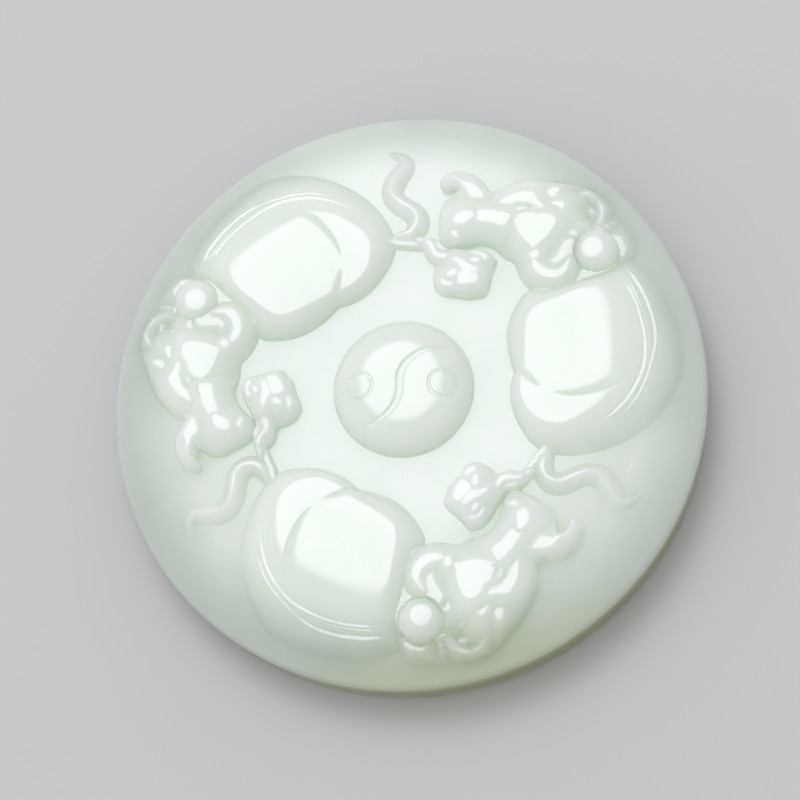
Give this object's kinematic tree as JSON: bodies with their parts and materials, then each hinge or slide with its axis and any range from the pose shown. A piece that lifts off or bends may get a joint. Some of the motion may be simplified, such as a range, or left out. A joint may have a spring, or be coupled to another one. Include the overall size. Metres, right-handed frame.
{
  "type": "carved jade disc pendant",
  "caption": "Round white jade pendant with oxen in relief around a domed boss with a yin and yang groove, and a hidden slanting cord hole.",
  "frame": {"origin": "middle of the flat back, which is the face it lies on", "axes": "+Z out of the carved face, +Y towards the side that hangs uppermost, +X to the right seen from the front"},
  "size_m": [0.058, 0.058, 0.0091],
  "materials": {
    "jade": "polished, translucent pale green white"
  },
  "bodies": {
    "root": {"jade_pendant": "jade"}
  },
  "joints": []
}
